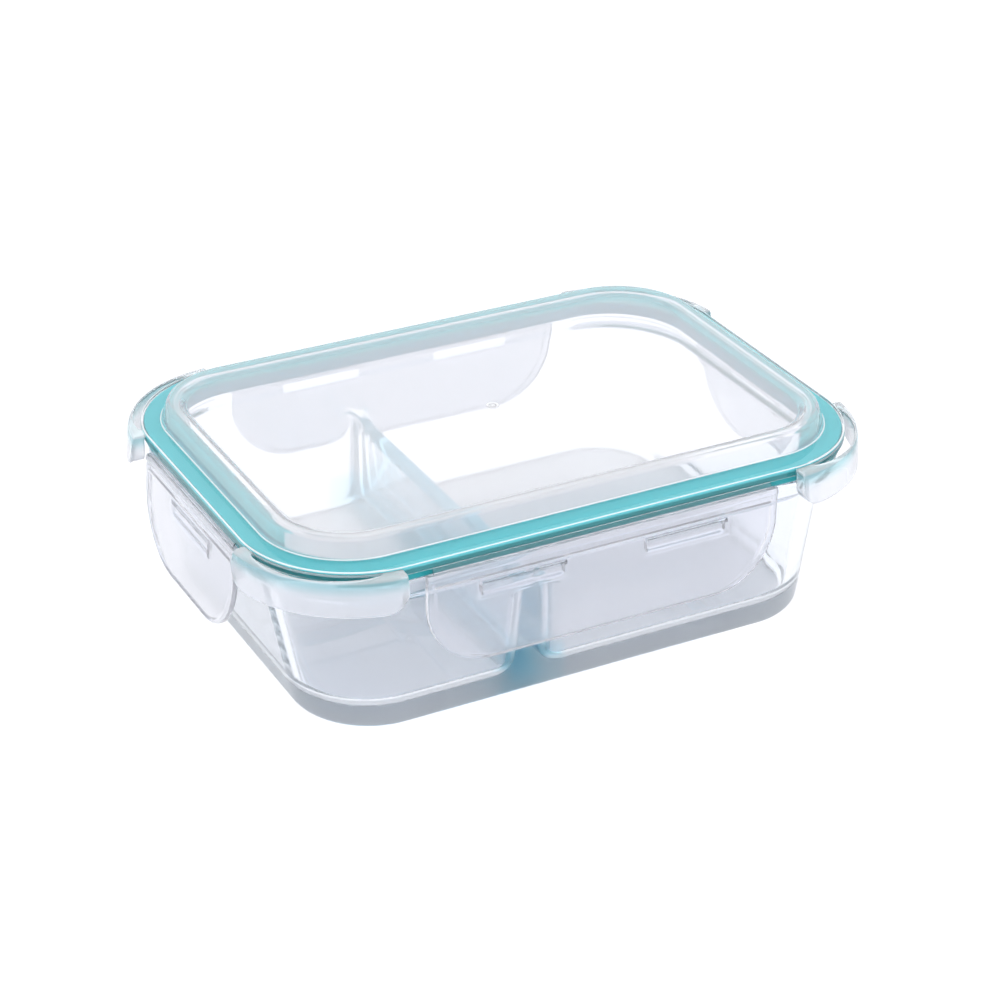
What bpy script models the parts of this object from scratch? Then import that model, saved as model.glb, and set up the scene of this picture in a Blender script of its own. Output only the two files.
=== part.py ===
"""Two-compartment glass lunch box with a four-flap snap lid, modelled in metres.

X runs along the long side, Y from front to back and Z up.  The origin is the centre of
the underside of the glass tray.  Plan outlines are rounded rectangles, each given by its
half-lengths along X and Y and its corner radius, in millimetres.
"""
import math

import bmesh
import bpy
from mathutils import Vector

MM = 0.001
GAP = 0.3                     # clearance between pieces that touch on the real object
CORNER_STEPS = 9              # segments in a quarter-circle of a plan outline
EDGE_STEPS = 4                # segments in a rounded edge or a floor fillet

# Glass tray: (half_x, half_y, corner radius) of the outer wall at its foot and under the lip
TRAY_FOOT = (86.0, 63.0, 25.0)
TRAY_SHOULDER = (94.3, 66.6, 33.0)
TRAY_LIP = (98.3, 69.6, 35.0)
SHOULDER_Z = 45.6             # the wall starts to flare into the lip here
LIP_LOW_Z = 47.6
RIM_Z = 53.0
FOOT_ROUND = 2.6              # radius of the tray's bottom edge
RIM_ROUND = 1.6
WALL = 4.5
FLOOR_Z = 5.2
FLOOR_FILLET = 6.0
RIM_INNER = (91.2, 62.5, 28.5)

# Divider: a solid glass wall across the tray, thicker towards the floor
DIVIDER_X = -18.7
RIDGE_Z = 35.5
RIDGE_HALF = 0.9
RIDGE_ROUND = 1.8
DIVIDER_DRAFT = 0.06          # sideways growth of each face per unit of depth
DIVIDER_FILLET = 7.0          # radius of the upright fillets at the divider's two ends
RISE_RUN = 11.0               # the ridge curves up to the long walls over this run
RISE_HEIGHT = 9.0
RISE_STEPS = 2
RIDGE_COLUMNS = 4             # rows of faces along the ridge

# Lid
LID_LEDGE = (100.0, 71.0, 35.7)
LID_RING = (94.4, 63.6, 28.2)
LID_TOP_Z = 64.5
PANEL_TOP_Z = 62.5
PANEL_THICKNESS = 1.5
LEDGE_TOP_Z = 58.5
LEDGE_LOW_Z = 57.5
SKIRT_LOW_Z = 55.4
SKIRT_THICKNESS = 1.1
PLUG_LOW_Z = 51.8

# Corner wings of the lid
WING_REACH = 5.0              # how far a wing stands out from the ledge
WING_LOW_Z = 46.4
WING_SHEET = 1.5
WING_OVERLAP = 0.7            # depth that a wing runs into the lid's skirt
WING_END_ROUND = 6.5
WING_END_WALL = 1.6           # a wing is closed by a wall of this thickness at each end
WING_STEPS = 18
WING_END_X = 65.5             # where a wing ends on the long side, and on the short side
WING_END_Y = 38.5
SLIT_NEAR, SLIT_FAR = 0.4, 2.6
SLIT_SPREAD = 60.0            # degrees of the corner that the crescent slit takes

# Gasket
GASKET_LOW_Z = RIM_Z + GAP
GASKET_TOP_Z = LEDGE_LOW_Z - GAP

# Flaps, with their film hinges
HINGE_OUT = 0.5               # hinge axis beyond the ledge's edge
HINGE_Z = 54.6
WEB_HALF = (0.42, 0.24)       # half-size of the film hinge's section
FLAP_TOP = -0.8               # heights and depths in a flap's own frame, axis at 0
FLAP_LOW = -32.8
FLAP_FACE = -0.85             # outer face, away from the tray
FLAP_BACK = 0.75              # inner face, towards the tray
FLAP_CORNER = 21.5
FLAP_TOP_CORNER = 2.0
LONG_FLAP_HALF = 58.7
SHORT_FLAP_HALF = 34.2
SHORT_FLAP_LEAN = 4.0         # degrees that the short flaps stand out at their foot
RIM_BAND = 2.4                # raised border of a flap
RIM_LOW = 0.8                 # the border's width along the lower edge
RECESS = 0.5
RIB_DEPTH = 1.5
RIB_TOP, RIB_LOW = -9.2, -12.4
SLOT_TOP, SLOT_LOW = -6.5, -8.9
HINGE_BEAD_LOW = -6.1         # the thick band along the hinge ends here
LONG_SLOTS = ((-41.2, -13.4), (13.4, 41.2))
SHORT_SLOTS = ((-13.9, 13.9),)


def clear_scene():
    for old in list(bpy.data.objects):
        bpy.data.objects.remove(old, do_unlink=True)


def make_material(name, colour, roughness, transmission):
    material = bpy.data.materials.new(name)
    material.use_nodes = True
    shader = material.node_tree.nodes["Principled BSDF"]
    shader.inputs["Base Color"].default_value = (*colour, 1.0)
    shader.inputs["Metallic"].default_value = 0.0
    shader.inputs["Roughness"].default_value = roughness
    shader.inputs["Transmission Weight"].default_value = transmission
    return material


def add_object(name, bm, material=None):
    """Close a bmesh into a smooth-shaded object; its coordinates are millimetres."""
    bmesh.ops.recalc_face_normals(bm, faces=bm.faces)
    bmesh.ops.scale(bm, vec=Vector((MM, MM, MM)), verts=bm.verts)
    mesh = bpy.data.meshes.new(name)
    bm.to_mesh(mesh)
    bm.free()
    mesh.shade_smooth()
    mesh.set_sharp_from_angle(angle=math.radians(32))
    if material:
        mesh.materials.append(material)
    body = bpy.data.objects.new(name, mesh)
    bpy.context.scene.collection.objects.link(body)
    return body


def hide_cutter(cutter):
    cutter.hide_render = True
    cutter.display_type = "WIRE"


def combine(body, other, operation):
    """Boolean with an object that only serves as a tool."""
    hide_cutter(other)
    modifier = body.modifiers.new(other.name, "BOOLEAN")
    modifier.operation = operation
    modifier.solver = "EXACT"
    modifier.object = other


def arc(centre_x, centre_y, radius, start, sweep, steps):
    """Points on an arc in the XY plane; angles in degrees."""
    points = []
    for step in range(steps + 1):
        angle = math.radians(start + sweep * step / steps)
        points.append((centre_x + radius * math.cos(angle), centre_y + radius * math.sin(angle)))
    return points


def rounded_rectangle(half_x, half_y, radius):
    """Counter-clockwise outline that starts at the back edge's left end."""
    inner_x, inner_y = half_x - radius, half_y - radius
    outline = []
    for sign_x, sign_y, start in ((-1, 1, 90), (-1, -1, 180), (1, -1, 270), (1, 1, 0)):
        outline += arc(sign_x * inner_x, sign_y * inner_y, radius, start, 90, CORNER_STEPS)
    return outline


def add_ring(bm, outline, z):
    return [bm.verts.new((x, y, z)) for x, y in outline]


def skin(bm, ring_a, ring_b):
    """Faces between two closed rings of equal length."""
    count = len(ring_a)
    for i in range(count):
        j = (i + 1) % count
        bm.faces.new((ring_a[i], ring_a[j], ring_b[j], ring_b[i]))


def skin_all(bm, rings):
    for ring_a, ring_b in zip(rings, rings[1:]):
        skin(bm, ring_a, ring_b)


def blend_shapes(shape_a, shape_b, factor):
    return tuple(a + (b - a) * factor for a, b in zip(shape_a, shape_b))


def shrink(shape, amount):
    return tuple(value - amount for value in shape)


# ---------------------------------------------------------------- glass tray

def outer_wall(z):
    return blend_shapes(TRAY_FOOT, TRAY_SHOULDER, z / SHOULDER_Z)


def inner_wall(z):
    """Inner wall shape, one wall thickness inside the outer one and flaring to the rim."""
    at_floor = shrink(outer_wall(0), WALL)
    return blend_shapes(at_floor, RIM_INNER, z / RIM_Z)


def fillet_inset(height, radius):
    """How far a quarter-round of the given radius stands in at a height above its foot."""
    if height >= radius:
        return 0.0
    return radius - math.sqrt(radius ** 2 - (radius - height) ** 2)


def tray_outline(shape, reach=RIDGE_HALF + DIVIDER_FILLET):
    """Outline in four parts: round the left compartment, across the divider's front end,
    round the right compartment and across the divider's back end."""
    outline = rounded_rectangle(*shape)
    half = len(outline) // 2
    y = shape[1]
    across = [DIVIDER_X + reach * (2.0 * i / RIDGE_COLUMNS - 1.0)
              for i in range(RIDGE_COLUMNS + 1)]
    middle = across[1:-1]
    left_part = [(across[0], y)] + outline[:half] + [(across[0], -y)]
    right_part = [(across[-1], -y)] + outline[half:] + [(across[-1], y)]
    return left_part, [(x, -y) for x in middle], right_part, [(x, y) for x in middle[::-1]]


def divider_side(side, half_thickness, radius, half_y):
    """One face of the divider with its end fillets, from the front wall to the back wall."""
    centre_x = DIVIDER_X + side * (half_thickness + radius)
    centre_y = half_y - radius
    run = RISE_RUN - DIVIDER_FILLET
    extra = [centre_y - run * i / RISE_STEPS for i in range(1, RISE_STEPS + 1)]
    if side < 0:
        ends = arc(centre_x, -centre_y, radius, 270, 90, CORNER_STEPS)
    else:
        ends = arc(centre_x, -centre_y, radius, 270, -90, CORNER_STEPS)
    front = ends[1:] + [(ends[-1][0], -y) for y in extra]
    return front + [(x, -y) for x, y in reversed(front)]


def lift_to_wall(x, y, z, half_thickness):
    """Point of the divider after its ridge is curved up to meet the two long walls."""
    half_y = inner_wall(z)[1]
    run = max(RISE_RUN - (half_y - abs(y)), 0.0) / RISE_RUN
    climb = 1.0 - math.sqrt(max(1.0 - run ** 2, 0.0))
    aside = max(abs(x - DIVIDER_X) - half_thickness, 0.0) / DIVIDER_FILLET
    foot = FLOOR_Z + FLOOR_FILLET
    share = min(max((z - foot) / (RIDGE_Z - foot), 0.0), 1.0)
    lifted = z + RISE_HEIGHT * climb * max(1.0 - aside, 0.0) ** 2 * share
    return x, y * inner_wall(lifted)[1] / half_y, lifted


def add_divider_ring(bm, outline, z, half_thickness):
    return [bm.verts.new(lift_to_wall(x, y, z, half_thickness)) for x, y in outline]


def compartment_levels():
    """Heights with the inset of the floor fillet and the divider's half-thickness."""
    levels = []
    for step in range(1, EDGE_STEPS + 1):
        angle = math.radians(90 * step / EDGE_STEPS)
        z = RIDGE_Z - RIDGE_ROUND * (1 - math.cos(angle))
        levels.append((z, 0.0, RIDGE_HALF + RIDGE_ROUND * math.sin(angle)))
    face_top = RIDGE_Z - RIDGE_ROUND
    side = RIDGE_HALF + RIDGE_ROUND
    for step in range(EDGE_STEPS + 1):
        angle = math.radians(90 * step / EDGE_STEPS)
        z = FLOOR_Z + FLOOR_FILLET * (1 - math.sin(angle))
        inset = FLOOR_FILLET * (1 - math.cos(angle))
        levels.append((z, inset, side + (face_top - z) * DIVIDER_DRAFT + inset))
    return levels


def add_compartment(bm, side, top_wall, top_divider):
    """Walls and floor of one compartment below the ridge; the top ring already exists."""
    rings = [top_wall + top_divider]
    for z, inset, half_thickness in compartment_levels():
        shape = shrink(inner_wall(z), inset)
        radius = DIVIDER_FILLET - inset
        parts = tray_outline(shape, half_thickness + radius)
        face = divider_side(side, half_thickness, radius, shape[1])
        wall = add_ring(bm, parts[0] if side < 0 else parts[2], z)
        if side > 0:
            face = face[::-1]
        rings.append(wall + add_divider_ring(bm, face, z, half_thickness))
    skin_all(bm, rings)
    bm.faces.new(rings[-1])


def add_ridge(bm, parts, left_face, right_face):
    """Top of the divider, as rows of faces from the front wall to the back wall."""
    left_wall, front, right_wall, back = parts
    rows = [[left_wall[-1]] + front + [right_wall[0]]]
    half_y = inner_wall(RIDGE_Z)[1]
    plan = divider_side(-1, RIDGE_HALF, DIVIDER_FILLET, half_y)
    for (x, y), left, right in zip(plan, left_face, right_face):
        reach = DIVIDER_X - x
        middle = [(DIVIDER_X + reach * (2.0 * i / RIDGE_COLUMNS - 1.0), y)
                  for i in range(1, RIDGE_COLUMNS)]
        rows.append([left] + add_divider_ring(bm, middle, RIDGE_Z, RIDGE_HALF) + [right])
    rows.append([left_wall[0]] + back[::-1] + [right_wall[-1]])
    for near, far in zip(rows, rows[1:]):
        for i in range(RIDGE_COLUMNS):
            bm.faces.new((near[i], near[i + 1], far[i + 1], far[i]))


def make_glass_base(material):
    bm = bmesh.new()
    rings = []
    for step in range(EDGE_STEPS + 1):
        angle = math.radians(90 * step / EDGE_STEPS)
        z = FOOT_ROUND * (1 - math.cos(angle))
        rings.append((shrink(outer_wall(z), FOOT_ROUND * (1 - math.sin(angle))), z))
    rings.append((TRAY_SHOULDER, SHOULDER_Z))
    rings.append((TRAY_LIP, LIP_LOW_Z))
    for step in range(EDGE_STEPS + 1):
        angle = math.radians(90 * step / EDGE_STEPS)
        inset = RIM_ROUND * (1 - math.cos(angle))
        rings.append((shrink(TRAY_LIP, inset), RIM_Z - RIM_ROUND * (1 - math.sin(angle))))
    for step in range(EDGE_STEPS + 1):
        angle = math.radians(90 * step / EDGE_STEPS)
        z = RIM_Z - RIM_ROUND * (1 - math.cos(angle))
        rings.append((shrink(inner_wall(z), -RIM_ROUND * (1 - math.sin(angle))), z))
    rings.append((inner_wall(RIDGE_Z), RIDGE_Z))

    skins = [add_ring(bm, sum(tray_outline(shape), []), z) for shape, z in rings[:-1]]
    shape, z = rings[-1]
    parts = [add_divider_ring(bm, part, z, RIDGE_HALF) for part in tray_outline(shape)]
    skins.append(sum(parts, []))
    bm.faces.new(list(reversed(skins[0])))
    skin_all(bm, skins)

    left_face, right_face = [
        add_divider_ring(bm, divider_side(side, RIDGE_HALF, DIVIDER_FILLET, shape[1]), z, RIDGE_HALF)
        for side in (-1, 1)]
    add_ridge(bm, parts, left_face, right_face)
    add_compartment(bm, -1, parts[0], left_face)
    add_compartment(bm, 1, parts[2], right_face[::-1])
    return add_object("glass_base", bm, material)


# ---------------------------------------------------------------- lid and gasket

def lid_sections():
    """Section of the lid from the middle of its top face, round the skirt, to its underside."""
    ledge, ring = LID_LEDGE, LID_RING
    skirt_inner = shrink(ledge, SKIRT_THICKNESS)
    plug = shrink(RIM_INNER, 0.5)
    panel_low = PANEL_TOP_Z - PANEL_THICKNESS
    return [
        (shrink(ring, 8.6), PANEL_TOP_Z),
        (shrink(ring, 7.2), LID_TOP_Z - 0.5),
        (shrink(ring, 6.4), LID_TOP_Z),
        (shrink(ring, 3.7), LID_TOP_Z),
        (shrink(ring, 2.7), LID_TOP_Z - 0.8),
        (shrink(ring, 0.9), LEDGE_TOP_Z + 0.8),
        (ring, LEDGE_TOP_Z),
        (shrink(ledge, 0.4), LEDGE_TOP_Z),
        (ledge, LEDGE_TOP_Z - 0.4),
        (ledge, SKIRT_LOW_Z),
        (skirt_inner, SKIRT_LOW_Z),
        (skirt_inner, LEDGE_LOW_Z),
        (shrink(plug, -0.3), LEDGE_LOW_Z),
        (plug, PLUG_LOW_Z),
        (shrink(plug, 1.1), PLUG_LOW_Z),
        (shrink(ring, 4.6), LID_TOP_Z - 2.0),
        (shrink(ring, 6.0), LID_TOP_Z - 1.6),
        (shrink(ring, 7.6), panel_low),
    ]


def ledge_point(distance, offset, corner):
    """Point at a run along a corner of the ledge's outline and an offset outward from it.

    The run starts on the X side of the corner arc; corner holds the signs of X and Y.
    """
    half_x, half_y, radius = LID_LEDGE
    length = radius * math.pi / 2
    centre_x, centre_y = half_x - radius, half_y - radius
    if distance < 0:
        x, y = half_x + offset, centre_y + distance
    elif distance > length:
        x, y = centre_x - (distance - length), half_y + offset
    else:
        angle = distance / radius
        x = centre_x + (radius + offset) * math.cos(angle)
        y = centre_y + (radius + offset) * math.sin(angle)
    return corner[0] * x, corner[1] * y


def wing_section(end_distance):
    """Section of a wing as (offset, z) pairs: a bent sheet, closed by a wall at each end.

    Its foot rises near the ends.
    """
    reach = WING_REACH
    low = WING_LOW_Z + fillet_inset(end_distance, WING_END_ROUND)
    inside = reach - WING_SHEET if end_distance > WING_END_WALL else GAP
    return [
        (-WING_OVERLAP, LEDGE_TOP_Z - 0.5), (reach * 0.55, LEDGE_TOP_Z - 0.6),
        (reach * 0.8, LEDGE_TOP_Z - 1.4), (reach * 0.93, LEDGE_TOP_Z - 3.2), (reach, low + 0.5),
        (reach - 0.5, low), (inside, low), (inside * 0.9, LEDGE_TOP_Z - 4.2),
        (inside * 0.7, LEDGE_TOP_Z - 2.8), (-WING_OVERLAP, LEDGE_TOP_Z - 2.2),
    ]


def make_wing(index, corner):
    bm = bmesh.new()
    half_x, half_y, radius = LID_LEDGE
    start = radius * math.asin((WING_END_Y - half_y + radius) / radius)
    stop = radius * math.acos((WING_END_X - half_x + radius) / radius)
    rings = []
    for step in range(WING_STEPS + 1):
        # closer steps near both ends, where the foot is rounded
        share = 0.5 - 0.5 * math.cos(math.pi * step / WING_STEPS)
        distance = start + (stop - start) * share
        ring = []
        for offset, z in wing_section(min(distance - start, stop - distance)):
            x, y = ledge_point(distance, offset, corner)
            ring.append(bm.verts.new((x, y, z)))
        rings.append(ring)
    skin_all(bm, rings)
    bm.faces.new(rings[0])
    bm.faces.new(rings[-1])
    return add_object(f"wing_{index}", bm)


def make_slit(index, corner):
    """Crescent cutter between a wing and the ledge, widest at the middle of the corner."""
    bm = bmesh.new()
    radius = LID_LEDGE[2]
    middle = radius * math.pi / 4
    spread = radius * math.radians(SLIT_SPREAD) / 2
    steps = WING_STEPS // 2
    rings = []
    for step in range(steps + 1):
        share = 2.0 * step / steps - 1.0
        width = (SLIT_FAR - SLIT_NEAR) * math.sqrt(max(1.0 - share ** 2, 0.02))
        far = SLIT_NEAR + width
        ring = []
        for offset, z in ((SLIT_NEAR, LEDGE_TOP_Z + 2), (far, LEDGE_TOP_Z + 2),
                          (far, LEDGE_TOP_Z - 6), (SLIT_NEAR, LEDGE_TOP_Z - 6)):
            x, y = ledge_point(middle + spread * share, offset, corner)
            ring.append(bm.verts.new((x, y, z)))
        rings.append(ring)
    skin_all(bm, rings)
    bm.faces.new(rings[0])
    bm.faces.new(rings[-1])
    return add_object(f"slit_{index}", bm)


def make_lid_cover(material):
    bm = bmesh.new()
    rings = [add_ring(bm, rounded_rectangle(*shape), z) for shape, z in lid_sections()]
    skin_all(bm, rings)
    bm.faces.new(rings[0])
    bm.faces.new(rings[-1])
    cover = add_object("lid_cover", bm, material)
    for index, corner in enumerate(((-1, -1), (1, -1), (1, 1), (-1, 1))):
        combine(cover, make_wing(index, corner), "UNION")
        combine(cover, make_slit(index, corner), "DIFFERENCE")
    return cover


def make_seal_gasket(material):
    """Closed band of silicone in the channel between the lid's skirt and its plug rib."""
    outer = shrink(LID_LEDGE, SKIRT_THICKNESS + GAP)
    inner = shrink(RIM_INNER, -GAP)
    bevel = 0.5
    sections = [
        (shrink(outer, bevel), GASKET_LOW_Z), (outer, GASKET_LOW_Z + bevel),
        (outer, GASKET_TOP_Z - bevel), (shrink(outer, bevel), GASKET_TOP_Z),
        (shrink(inner, -bevel), GASKET_TOP_Z), (inner, GASKET_TOP_Z - bevel),
        (inner, GASKET_LOW_Z + bevel), (shrink(inner, -bevel), GASKET_LOW_Z),
    ]
    bm = bmesh.new()
    rings = [add_ring(bm, rounded_rectangle(*shape), z) for shape, z in sections]
    skin_all(bm, rings + rings[:1])
    return add_object("seal_gasket", bm, material)


# ---------------------------------------------------------------- flaps

def flap_outline(half_length):
    """Outline in X and Z with large lower corners; the top edge has small ones."""
    right, low, top = half_length, FLAP_LOW, FLAP_TOP
    corner, small = FLAP_CORNER, FLAP_TOP_CORNER
    path = arc(-right + small, top - small, small, 90, 90, EDGE_STEPS)
    path += arc(-right + corner, low + corner, corner, 180, 90, CORNER_STEPS)
    path += arc(right - corner, low + corner, corner, 270, 90, CORNER_STEPS)
    path += arc(right - small, top - small, small, 0, 90, EDGE_STEPS)
    return path


def recess_outline(half_length):
    """Outline of the thin field of a flap, inside its border and below its hinge band."""
    corner = FLAP_CORNER + 4.0
    right, low = half_length - RIM_BAND, FLAP_LOW + RIM_LOW
    path = [(-right, HINGE_BEAD_LOW)]
    path += arc(-right + corner, low + corner, corner, 180, 90, CORNER_STEPS)
    path += arc(right - corner, low + corner, corner, 270, 90, CORNER_STEPS)
    path.append((right, HINGE_BEAD_LOW))
    return path


def extrude_outline(name, outline, y_from, y_to, material=None):
    bm = bmesh.new()
    rings = [[bm.verts.new((x, y, z)) for x, z in outline] for y in (y_from, y_to)]
    skin_all(bm, rings)
    bm.faces.new(rings[0])
    bm.faces.new(rings[-1])
    return add_object(name, bm, material)


def make_block(name, x_range, y_range, z_range):
    outline = [(x_range[0], z_range[0]), (x_range[1], z_range[0]),
               (x_range[1], z_range[1]), (x_range[0], z_range[1])]
    return extrude_outline(name, outline, *y_range)


def make_flap(name, half_length, slots, material):
    """Snap flap in its own frame: X along the hinge, +Y towards the tray, axis at the origin."""
    flap = extrude_outline(name, flap_outline(half_length), FLAP_FACE, FLAP_BACK, material)
    recess = extrude_outline(f"{name}_recess", recess_outline(half_length),
                             FLAP_FACE - 1.0, FLAP_FACE + RECESS)
    combine(flap, recess, "DIFFERENCE")
    tools = [recess]
    for index, (start, stop) in enumerate(slots):
        rib = make_block(f"{name}_rib_{index}", (start, stop), (FLAP_BACK - 0.4, RIB_DEPTH),
                         (RIB_LOW, RIB_TOP))
        combine(flap, rib, "UNION")
        slot = make_block(f"{name}_slot_{index}", (start, stop), (FLAP_FACE - 1.0, RIB_DEPTH + 1.0),
                          (SLOT_LOW, SLOT_TOP))
        combine(flap, slot, "DIFFERENCE")
        tools += [rib, slot]
    for tool in tools:
        tool.parent = flap
    return flap


def make_film_hinge(name, half_length, material):
    """Thin web that joins a flap to the lid's skirt, in the flap's frame."""
    length = half_length - FLAP_TOP_CORNER
    half_y, half_z = WEB_HALF
    web = make_block(name, (-length, length), (-half_y, half_y), (-half_z, half_z))
    web.data.materials.append(material)
    return web


def place(body, location, turn, lean=0.0):
    """Set a body on its hinge axis; lean swings its foot away from the tray."""
    body.location = Vector(location) * MM
    body.rotation_euler = (math.radians(-lean), 0.0, math.radians(turn))


def main():
    clear_scene()
    glass = make_material("clear_glass", (0.86, 0.93, 0.96), 0.03, 0.9)
    clear_lid = make_material("clear_lid_plastic", (0.93, 0.94, 0.97), 0.12, 0.8)
    frosted = make_material("frosted_flap_plastic", (0.86, 0.88, 0.92), 0.3, 0.6)
    teal = make_material("teal_silicone", (0.24, 0.68, 0.70), 0.45, 0.1)

    make_glass_base(glass)
    make_lid_cover(clear_lid)
    make_seal_gasket(teal)

    side_x = LID_LEDGE[0] + HINGE_OUT
    side_y = LID_LEDGE[1] + HINGE_OUT
    long_flap = (LONG_FLAP_HALF, LONG_SLOTS, 0.0)
    short_flap = (SHORT_FLAP_HALF, SHORT_SLOTS, SHORT_FLAP_LEAN)
    sides = (
        ("front", long_flap, (0, -side_y, HINGE_Z), 0),
        ("right", short_flap, (side_x, 0, HINGE_Z), 90),
        ("back", long_flap, (0, side_y, HINGE_Z), 180),
        ("left", short_flap, (-side_x, 0, HINGE_Z), 270),
    )
    for side, (half_length, slots, lean), location, turn in sides:
        place(make_flap(f"flap_{side}", half_length, slots, frosted), location, turn, lean)
        place(make_film_hinge(f"film_hinge_{side}", half_length, frosted), location, turn)


main()
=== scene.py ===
"""Looks of the two-compartment glass lunch box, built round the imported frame.

Plan outlines are rounded rectangles (half_x, half_y, corner radius) in millimetres, as in
the CAD; meshes are scaled to metres when they become objects.
"""
import math

import bmesh
import bpy
from mathutils import Matrix, Vector


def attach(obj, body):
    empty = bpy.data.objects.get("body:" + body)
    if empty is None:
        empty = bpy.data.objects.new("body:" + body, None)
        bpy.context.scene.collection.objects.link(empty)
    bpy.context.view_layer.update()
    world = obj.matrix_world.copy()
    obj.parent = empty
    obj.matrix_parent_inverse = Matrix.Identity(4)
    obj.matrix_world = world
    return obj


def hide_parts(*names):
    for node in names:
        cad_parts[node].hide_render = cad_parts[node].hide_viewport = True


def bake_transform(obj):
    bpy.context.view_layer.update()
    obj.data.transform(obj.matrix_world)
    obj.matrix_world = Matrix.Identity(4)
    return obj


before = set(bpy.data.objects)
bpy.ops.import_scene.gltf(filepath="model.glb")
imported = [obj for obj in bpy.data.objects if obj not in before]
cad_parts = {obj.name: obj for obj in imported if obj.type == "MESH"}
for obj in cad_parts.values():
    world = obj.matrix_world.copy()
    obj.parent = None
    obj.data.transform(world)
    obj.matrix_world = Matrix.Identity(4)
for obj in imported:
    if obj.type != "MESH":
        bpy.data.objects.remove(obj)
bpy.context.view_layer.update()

MM = 0.001
CORNER_STEPS = 28
EDGE_STEPS = 8

# Glass tray
TRAY_FOOT = (86.0, 63.0, 25.0)
TRAY_SHOULDER = (94.3, 66.6, 33.0)
TRAY_LIP = (98.3, 69.6, 35.0)
SHOULDER_Z = 45.6
LIP_LOW_Z = 47.6
RIM_Z = 53.0
FOOT_ROUND = 2.6
RIM_ROUND = 1.6
LIP_ROUND = 1.4
WALL = 4.5
FLOOR_Z = 5.2
FLOOR_FILLET = 6.0
RIM_INNER = (91.2, 62.5, 28.5)
ETCHED_HEIGHT = 0.3           # the etched face under the tray ends this far up
DIVIDER_X = -18.7
RIDGE_Z = 35.5
RIDGE_HALF = 0.9
RIDGE_ROUND = 1.8
RIDGE_COLUMNS = 8
DIVIDER_DRAFT = 0.06
DIVIDER_FILLET = 7.0
RISE_RUN = 11.0
RISE_HEIGHT = 9.0
RISE_STEPS = 8
CORE_DEPTH = 0.6              # the divider's tinted core lies this deep in the glass
CORE_LEVELS = (1.2, FLOOR_Z, 8.0, 11.0, 14.0)

# Lid
LID_LEDGE = (100.0, 71.0, 35.7)
LID_RING = (94.4, 63.6, 28.2)
LID_TOP_Z = 64.5
PANEL_TOP_Z = 62.5
PANEL_THICKNESS = 1.5
LEDGE_TOP_Z = 58.5
LEDGE_LOW_Z = 57.5
SKIRT_LOW_Z = 55.4
SKIRT_THICKNESS = 1.1
PLUG_LOW_Z = 51.8
PLUG_THICKNESS = 1.1
PLUG_CLEARANCE = 0.5          # between the plug rib and the glass
LID_ROUND = 0.5               # rounding of the corners of the lid's and gasket's sections
GATE_MARK = ((2.0, -0.2), (1.95, 0.1), (1.75, 0.14), (1.5, 0.1), (1.3, -0.05), (0.8, -0.02),
             (0.6, 0.16), (0.3, 0.2))   # radii, and heights above the panel
GATE_MARK_STEPS = 40

# Corner wings
WING_REACH = 5.0
WING_LOW_Z = 46.4
WING_SHEET = 1.1
WING_OVERLAP = 0.5
WING_END_ROUND = 6.5
WING_END_WALL = 1.6           # thickness of the wall that closes each end of a wing
WING_END_GAP = 0.3            # between that wall and the ledge
WING_STEPS = 64
WING_VOXEL = 0.26
WING_END_X = 65.5
WING_END_Y = 38.5
SLIT_NEAR, SLIT_FAR = 0.1, 3.2
SLIT_SPREAD = 66.0

# Gasket
GASKET_LOW_Z = RIM_Z + 0.1
GASKET_TOP_Z = LEDGE_LOW_Z + 0.1
GASKET_GRIP = 0.4             # how far the silicone is pressed into the lid's inner wall

# Flaps and film hinges, in a flap's own frame: heights from the hinge's axis, and depths
# that grow toward the tray
HINGE_OUT = 0.5
HINGE_Z = 54.6
FLAP_TOP = -0.8
FLAP_LOW = -32.8
FLAP_FACE = -0.85
FLAP_BACK = 0.75
FLAP_CORNER = 21.5
LONG_FLAP_HALF = 58.7
SHORT_FLAP_HALF = 34.2
SHORT_FLAP_LEAN = 4.0
RIM_BAND = 2.4
RIM_LOW = 0.8
RECESS = 0.5
RIB_DEPTH = 1.5
RIB_TOP, RIB_LOW = -8.7, -12.4
RIB_RAMP = 1.8                # height of the slope under the snap rib
SLOT_TOP, SLOT_LOW = -6.8, -8.1
HINGE_BAND_LOW = -6.1         # below this the flap's outer face is recessed
BEAD_Z, BEAD_HALF, BEAD_HEIGHT = -2.05, 0.9, 0.36
GROOVE_TOP, GROOVE_FLAT_TOP, GROOVE_FLAT_LOW, GROOVE_LOW = -3.3, -3.7, -4.9, -5.3
GROOVE_DEPTH = 0.5
PAD_MARGIN = 1.2              # the pad round a slot reaches this far past its ends
PAD_HEIGHT = 0.28
FLAP_OUTER_ROUND, FLAP_INNER_ROUND = 0.45, 0.3
FLAP_FOOT_ROWS = 44
ROW_STEP = 0.2
FINE_COLUMN, COARSE_COLUMN = 0.22, 0.85
LONG_SLOTS = ((-41.2, -13.4), (13.4, 41.2))
SHORT_SLOTS = ((-13.9, 13.9),)
WEB_PATH = ((1.0, 0.95), (0.55, 0.6), (0.1, 0.2), (-0.2, -0.25), (-0.25, -0.7), (-0.2, -1.15))
WEB_HALF_SHEET = 0.16
WEB_END_INSET = 2.2

# Refraction
GLASS_IOR = 1.5
PLASTIC_IOR = 1.49
SILICONE_IOR = 1.41
NO_BENDING_IOR = 1.0

# Floor, in metres
FLOOR_HALF = 4.0
FLOOR_GAP = 0.0002

# Camera: where it looks, from what direction and how far, in degrees and metres
CAMERA_TARGET = Vector((0.02736, 0.04581, 0.0))
CAMERA_AZIMUTH = -28.13
CAMERA_ELEVATION = 28.64
CAMERA_ROLL = 0.5
CAMERA_DISTANCE = 0.9033
CAMERA_LENS = 96.16


# ------------------------------------------------------------------ mesh helpers

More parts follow.
